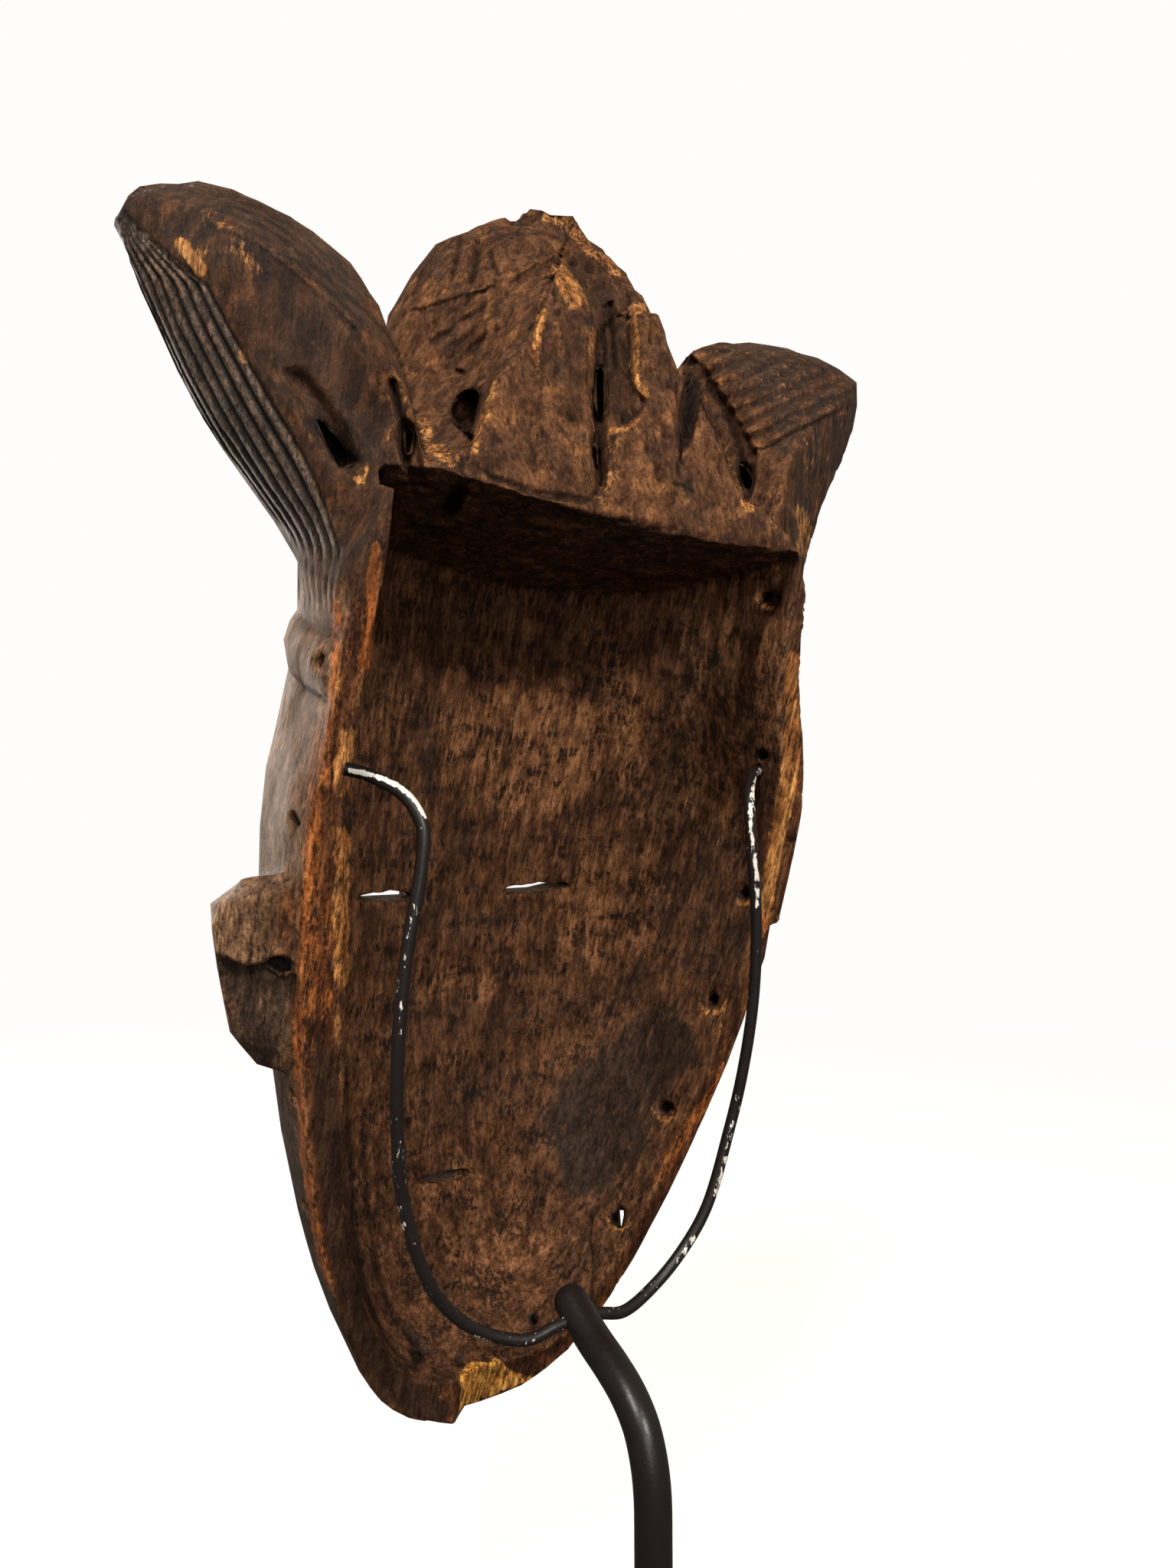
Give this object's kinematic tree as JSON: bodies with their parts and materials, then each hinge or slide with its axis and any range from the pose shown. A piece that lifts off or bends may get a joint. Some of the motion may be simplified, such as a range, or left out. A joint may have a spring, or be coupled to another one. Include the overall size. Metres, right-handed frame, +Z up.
{
  "type": "carved face mask on display stand",
  "caption": "Carved wooden face mask with a hair crest and ribbed side lobes, hollow behind and broken at the chin, held leaning by a wire cradle on a bent rod over a flat foot.",
  "frame": {"origin": "centre of the foot plate's underside, on the surface that the stand rests on", "axes": "+Z up; the mask looks towards -Y and its hollow back opens towards +Y; +X is the wearer's left"},
  "size_m": [0.246, 0.181, 0.4834],
  "materials": {
    "old_wood": "dry carved wood with dark patina, worn rim and fresh break",
    "black_wire": "black paint, chipped",
    "black_rod": "satin brown-black paint",
    "black_foot": "satin black paint"
  },
  "bodies": {
    "root": {"mask": "old_wood", "cradle_wire": "black_wire", "rod": "black_rod", "foot_plate": "black_foot"}
  },
  "joints": []
}
